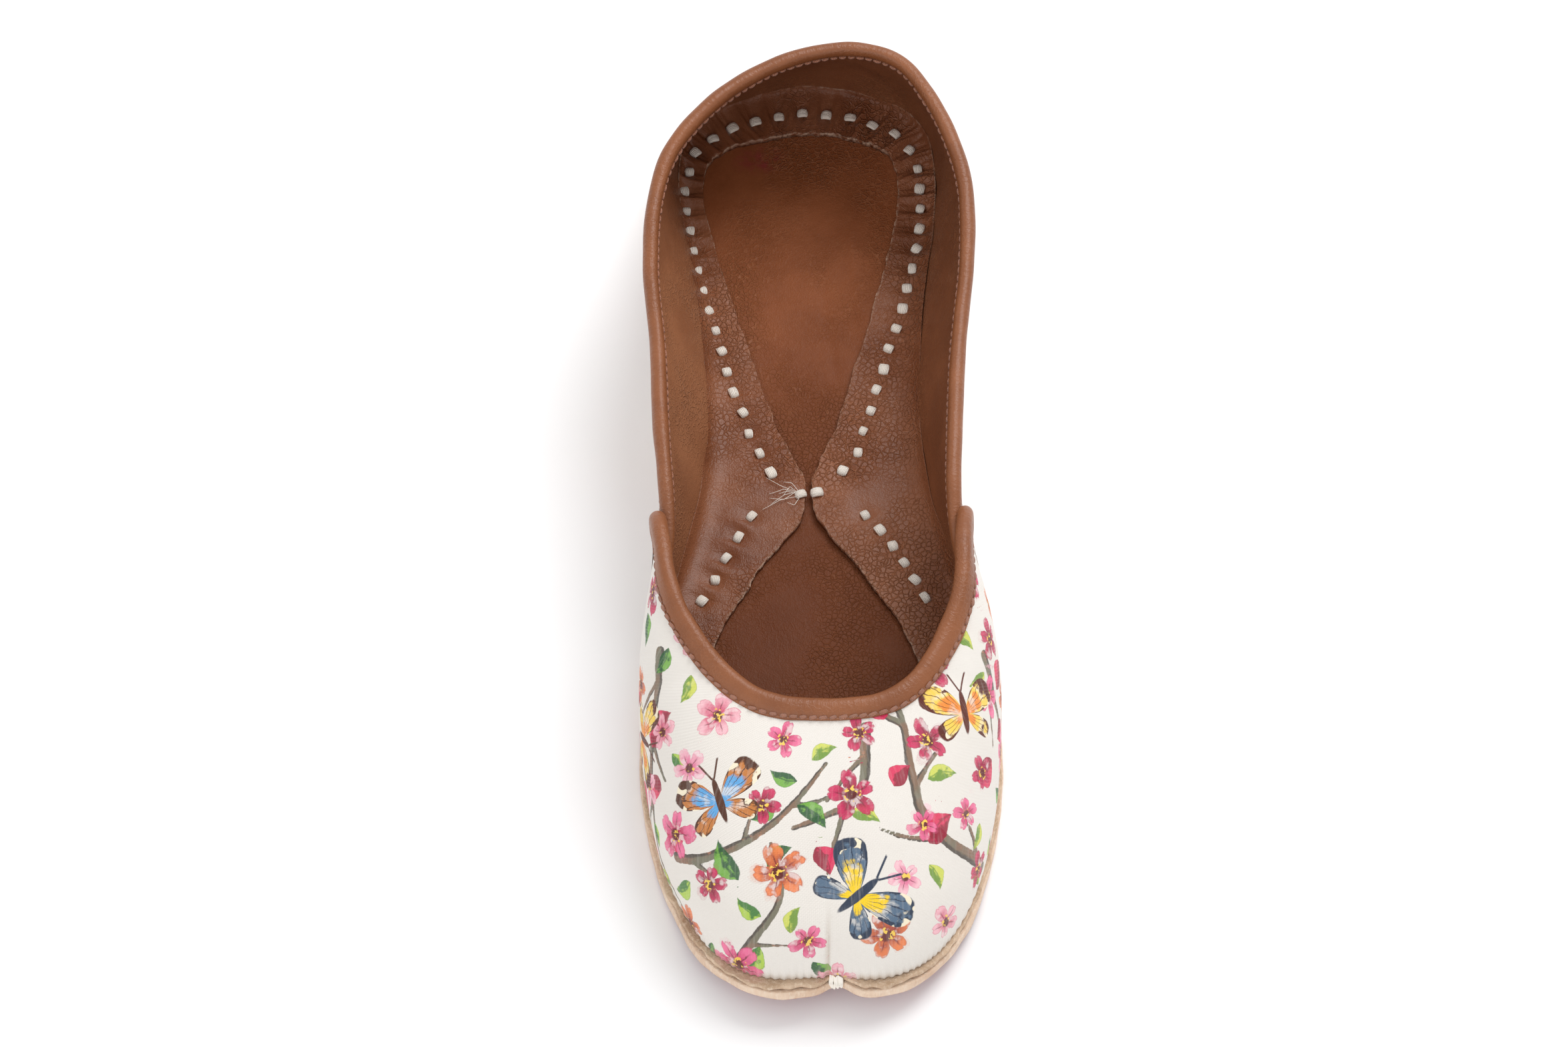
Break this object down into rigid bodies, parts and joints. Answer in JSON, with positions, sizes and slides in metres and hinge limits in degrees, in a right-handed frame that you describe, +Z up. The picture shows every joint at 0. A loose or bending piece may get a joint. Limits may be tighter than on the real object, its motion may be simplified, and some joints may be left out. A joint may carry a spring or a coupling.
{
  "type": "mojari shoe",
  "caption": "Flat slip-on shoe with a printed cloth upper, leather lining, rolled leather collar binding and a hand-stitched leather sole with a low heel lift.",
  "frame": {"origin": "on the floor, under the middle of the shoe's bounding box", "axes": "+Z up, -Y towards the toe, +X to the right of someone who faces the toe from in front"},
  "size_m": [0.087, 0.2602, 0.0558],
  "materials": {
    "sole_leather": "crimson dyed grain leather, satin, lightly scuffed",
    "raw_leather": "undyed cut leather edge, matt",
    "insole_leather": "brown footbed leather, fine grain, satin",
    "lining_leather": "brown lining leather, fine grain, satin",
    "binding_leather": "brown binding leather, smooth, soft sheen",
    "printed_cloth": "cream woven cotton with a printed blossom pattern, matt"
  },
  "bodies": {
    "root": {"outsole": "sole_leather", "heel_lift": "sole_leather", "midsole": "raw_leather", "insole": "insole_leather", "upper": "printed_cloth", "lining_margin": "lining_leather", "vamp_binding": "binding_leather", "quarter_binding": "binding_leather"}
  },
  "joints": []
}
